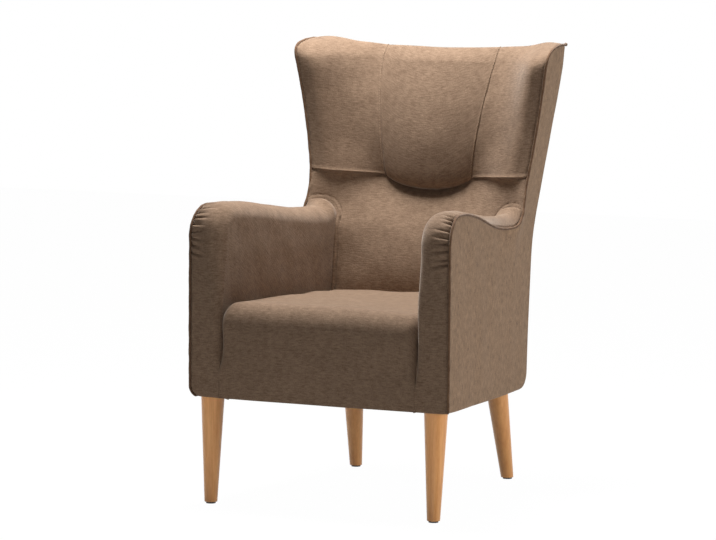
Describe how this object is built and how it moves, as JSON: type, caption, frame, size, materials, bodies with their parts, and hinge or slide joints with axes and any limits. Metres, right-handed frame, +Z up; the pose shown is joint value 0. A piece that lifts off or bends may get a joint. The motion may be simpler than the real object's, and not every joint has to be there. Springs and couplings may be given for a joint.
{
  "type": "fireside chair",
  "caption": "Upholstered wing-backed fireside chair with sloping padded arms, a sprung fixed seat, thin piping and round tapered wooden legs.",
  "frame": {"origin": "centre of the chair's footprint on the floor", "axes": "+Z up, -Y the way the chair faces, +X towards the sitter's left, the viewer's right"},
  "size_m": [0.6426, 0.732, 1.0375],
  "materials": {
    "cover_fabric": "velvety taupe brown chenille with a fine rib",
    "piping_fabric": "thin piping of the cover fabric",
    "leg_wood": "clear satin lacquer on honey beech",
    "frame_wood": "plain planed beech",
    "hardboard": "thin brown hardboard",
    "foam": "upholstery foam",
    "felt": "grey needled felt",
    "webbing": "woven elastic webbing",
    "dust_cloth": "black non-woven cloth",
    "steel": "zinc plated steel",
    "glide_plastic": "dull dark plastic"
  },
  "bodies": {
    "root": {"inside_arm_cover_left": "cover_fabric", "inside_arm_cover_right": "cover_fabric", "seat_cover": "cover_fabric", "lumbar_cover": "cover_fabric", "head_cover": "cover_fabric", "wing_cover_left": "cover_fabric", "wing_cover_right": "cover_fabric", "outside_arm_cover_left": "cover_fabric", "outside_arm_cover_right": "cover_fabric", "outside_back_cover": "cover_fabric", "piping_left": "piping_fabric", "piping_right": "piping_fabric", "leg_front_left": "leg_wood", "leg_front_right": "leg_wood", "leg_rear_left": "leg_wood", "leg_rear_right": "leg_wood", "glides": "glide_plastic", "hanger_bolts": "steel", "leg_plates": "steel", "plate_screws": "steel", "dust_cover": "dust_cloth", "front_rail": "frame_wood", "side_rail_left": "frame_wood", "side_rail_right": "frame_wood", "back_rail_bottom": "frame_wood", "back_tuck_rail": "frame_wood", "back_mid_rail": "frame_wood", "back_top_rail": "frame_wood", "front_post_left": "frame_wood", "front_post_right": "frame_wood", "back_post_left": "frame_wood", "back_post_right": "frame_wood", "arm_rail_left": "frame_wood", "arm_rail_right": "frame_wood", "wing_post_left": "frame_wood", "wing_post_right": "frame_wood", "wing_top_rail_left": "frame_wood", "wing_top_rail_right": "frame_wood", "corner_blocks": "frame_wood", "frame_dowels": "frame_wood", "dust_staples": "steel", "frame_screws": "steel", "seat_springs": "steel", "spring_clips": "steel", "spring_pad": "felt", "seat_foam": "foam", "back_webbing": "webbing", "lumbar_foam": "foam", "head_foam": "foam", "wing_foam_left": "foam", "wing_foam_right": "foam", "arm_foam_left": "foam", "arm_foam_right": "foam", "side_board_left": "hardboard", "side_board_right": "hardboard", "back_board": "hardboard"}
  },
  "joints": []
}
